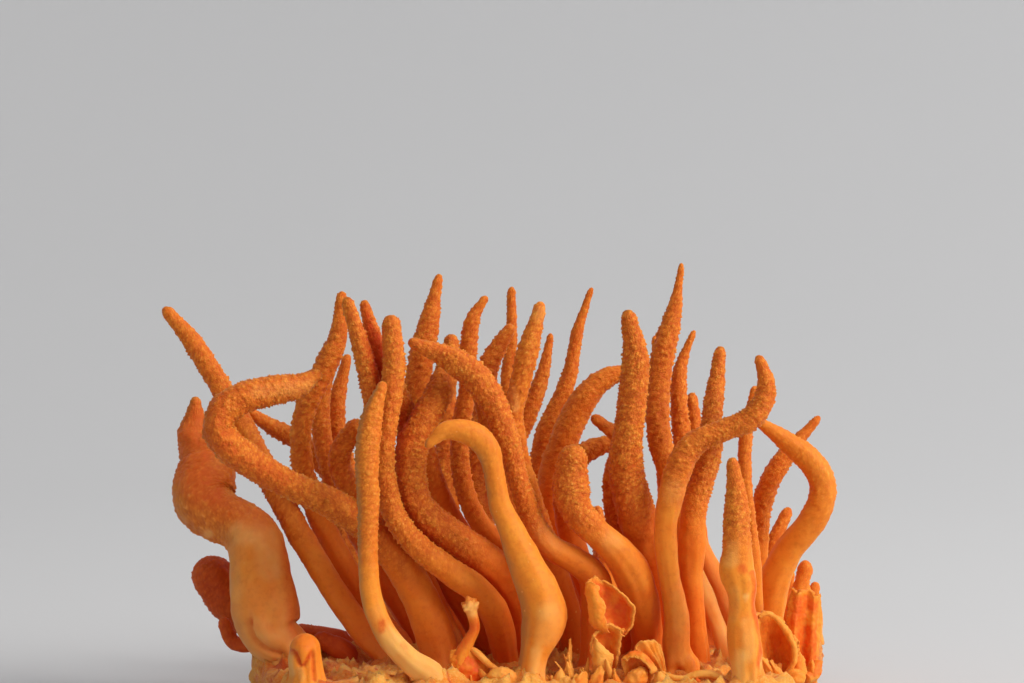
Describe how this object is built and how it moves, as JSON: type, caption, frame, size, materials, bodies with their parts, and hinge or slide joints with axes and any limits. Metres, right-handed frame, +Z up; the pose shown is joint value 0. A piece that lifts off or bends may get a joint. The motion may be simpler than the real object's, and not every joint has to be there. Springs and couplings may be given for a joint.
{
  "type": "cordyceps bunch",
  "caption": "Bunch of cultivated cordyceps: curling, granular orange clubs of uneven height standing on one pale mycelium mat cut off flat underneath.",
  "frame": {"origin": "the point of the mat's flat cut underside where the bunch was laid out from, at the height of the cut face", "axes": "+Z up, away from the cut face; -Y is the front that the picture shows; +X to the right seen from the front, along the bunch's longest side"},
  "size_m": [0.106, 0.075, 0.069],
  "materials": {
    "orange_club": "granular orange fungus flesh, matt and slightly translucent",
    "pale_club": "smooth pale orange fungus flesh, faintly waxy",
    "shaded_club": "dark red-brown fungus flesh, matt",
    "mycelium": "cream mycelium with orange flakes, matt and fibrous"
  },
  "bodies": {
    "root": {"club_slim_front": "pale_club", "club_front_crook": "orange_club", "club_front_stout": "pale_club", "club_stub_left": "pale_club", "club_sprout_with_knob": "orange_club", "club_bent_left": "orange_club", "club_round_head": "orange_club", "club_long_elbow": "orange_club", "club_tall_rough": "orange_club", "club_trio_left": "orange_club", "club_trio_middle": "orange_club", "club_long_s": "orange_club", "club_thick_s": "orange_club", "club_great_hook": "orange_club", "club_dark_thumb": "shaded_club", "club_smooth_thumb": "orange_club", "club_behind_rough": "orange_club", "club_bumpy_right": "orange_club", "club_pale_leaner": "pale_club", "club_thread": "orange_club", "club_tallest": "orange_club", "club_behind_tallest": "orange_club", "club_back_right_prong": "orange_club", "club_back_right_stub": "orange_club", "club_right_sickle": "orange_club", "club_right_cross": "orange_club", "club_right_small": "orange_club", "club_edge_tall": "orange_club", "club_edge_outer": "orange_club", "club_edge_inner": "orange_club", "club_tall_back_left": "orange_club", "club_curved_back": "orange_club", "club_far_thin": "orange_club", "club_middle_leaner": "orange_club", "club_far_prong": "orange_club", "club_far_arm": "orange_club", "club_peeping_tip": "orange_club", "club_cross_arm": "orange_club", "club_far_left": "orange_club", "club_cross_left": "orange_club", "club_back_left_tall": "orange_club", "club_back_left_inner": "orange_club", "club_back_left_red": "orange_club", "club_back_left_dark": "shaded_club", "club_fat_pale": "pale_club", "club_left_lump": "shaded_club", "club_left_finger": "shaded_club", "club_behind_left_outer": "orange_club", "club_behind_left": "orange_club", "club_behind_middle": "orange_club", "club_behind_right": "orange_club", "club_behind_right_outer": "orange_club", "club_low_back_right": "orange_club", "club_low_back_left": "shaded_club", "club_low_front_left": "shaded_club", "club_low_far_right": "orange_club", "mycelium_mat": "mycelium", "skin_curl": "orange_club", "skin_fan": "orange_club", "skin_cup": "orange_club"}
  },
  "joints": []
}
